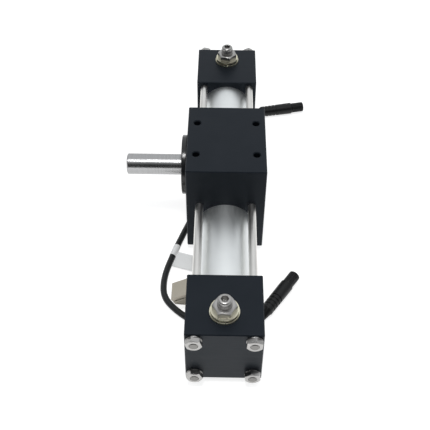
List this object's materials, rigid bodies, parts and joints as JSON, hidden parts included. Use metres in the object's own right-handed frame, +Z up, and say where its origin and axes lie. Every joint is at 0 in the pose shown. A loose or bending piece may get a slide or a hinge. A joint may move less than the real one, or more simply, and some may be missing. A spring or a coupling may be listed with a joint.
{
  "type": "pneumatic rotary actuator",
  "caption": "Double-acting rack-and-pinion rotary actuator: two tie-rod air cylinders, a central gear housing, a side output shaft and plug-in switch leads.",
  "frame": {"origin": "on the output shaft axis, where the free ground shaft starts, outside the retainer and the relief groove", "axes": "-X along the free output shaft, Y along both cylinders (far side +Y), +Z up to the tapped mounting face"},
  "size_m": [0.1469, 0.3156, 0.0842],
  "materials": {
    "black_anodised": "satin black anodising with fine machining lines",
    "black_retainer": "black anodised and turned, glossier than the housing",
    "ground_steel": "ground and polished",
    "bearing_steel": "polished",
    "bright_steel": "bright drawn",
    "zinc_plate": "bright zinc plated",
    "yellow_zinc": "faintly yellow zinc passivation",
    "machined_aluminium": "machined",
    "clear_anodised_tube": "satin clear anodising",
    "cast_metal": "matt cast metal",
    "black_rubber": "matt",
    "wear_plastic": "smooth",
    "magnet": "plastic bonded magnet",
    "black_plastic": "moulded",
    "lead_jacket": "satin cable jacket",
    "contact_metal": "gold flashed",
    "white_paper": "matt paper-like film"
  },
  "bodies": {
    "actuator_body": {"gear_housing": "black_anodised", "bearing_retainer": "black_retainer", "bearing_outer_rings": "bearing_steel", "shaft_seal": "black_rubber", "rack_pad": "wear_plastic", "tag_sleeve": "white_paper", "cable_tag": "white_paper", "near_cushion_seal": "black_rubber", "far_cushion_seal": "black_rubber", "near_tube": "clear_anodised_tube", "far_tube": "clear_anodised_tube", "near_tube_gaskets": "black_rubber", "far_tube_gaskets": "black_rubber", "near_end_cap": "black_anodised", "far_end_cap": "black_anodised", "near_tie_rods": "bright_steel", "far_tie_rods": "bright_steel", "near_tie_rod_washers": "zinc_plate", "far_tie_rod_washers": "zinc_plate", "near_tie_rod_nuts": "zinc_plate", "far_tie_rod_nuts": "zinc_plate", "near_needle_washers": "yellow_zinc", "far_needle_washers": "yellow_zinc", "near_needle_seal_ring": "black_rubber", "far_needle_seal_ring": "black_rubber", "near_needle_lock_nut": "zinc_plate", "far_needle_lock_nut": "zinc_plate", "near_switch_bracket": "cast_metal", "far_switch_bracket": "cast_metal", "near_bracket_screw": "zinc_plate", "far_bracket_screw": "zinc_plate", "near_switch": "black_plastic", "far_switch": "black_plastic", "near_lead": "lead_jacket", "far_lead": "lead_jacket", "near_plug": "black_plastic", "far_plug": "black_plastic", "near_plug_contacts": "contact_metal", "far_plug_contacts": "contact_metal"},
    "output_shaft": {"pinion_shaft": "ground_steel", "bearing_inner_rings": "bearing_steel", "bearing_balls": "bearing_steel"},
    "rack_and_pistons": {"rack": "ground_steel", "near_piston": "machined_aluminium", "far_piston": "machined_aluminium", "near_piston_seal": "black_rubber", "far_piston_seal": "black_rubber", "near_wear_ring": "wear_plastic", "far_wear_ring": "wear_plastic", "near_magnet_ring": "magnet", "far_magnet_ring": "magnet", "near_cushion_spear": "bright_steel", "far_cushion_spear": "bright_steel"},
    "near_needle": {"near_cushion_needle": "zinc_plate"},
    "far_needle": {"far_cushion_needle": "zinc_plate"},
    "near_collar": {"near_plug_collar": "black_plastic"},
    "far_collar": {"far_plug_collar": "black_plastic"}
  },
  "joints": [
    {"name": "shaft_turn", "type": "hinge", "parent": "actuator_body", "child": "output_shaft", "pos_m": [0, 0, 0], "axis": [1, 0, 0], "range_deg": [-90, 90]},
    {"name": "rack_slide", "type": "slide", "parent": "actuator_body", "child": "rack_and_pistons", "axis": [0, 1, 0], "range_m": [-0.0283, 0.0283]},
    {"name": "near_needle_turn", "type": "hinge", "parent": "actuator_body", "child": "near_needle", "pos_m": [0.0346, -0.1357, 0], "axis": [0, 0, 1], "range_deg": [-360, 360]},
    {"name": "far_needle_turn", "type": "hinge", "parent": "actuator_body", "child": "far_needle", "pos_m": [0.0346, 0.1357, 0], "axis": [0, 0, 1], "range_deg": [-360, 360]},
    {"name": "near_collar_spin", "type": "hinge", "parent": "actuator_body", "child": "near_collar", "pos_m": [0.0875, -0.0642, -0.0524], "axis": [0.5625, 0.8268, 0], "continuous": true},
    {"name": "far_collar_spin", "type": "hinge", "parent": "actuator_body", "child": "far_collar", "pos_m": [0.1058, 0.1366, -0.0524], "axis": [0.9764, 0.216, 0], "continuous": true}
  ],
  "couplings": [
    {"joint": "rack_slide", "follows": "shaft_turn", "m_per_rad": 0.018}
  ]
}
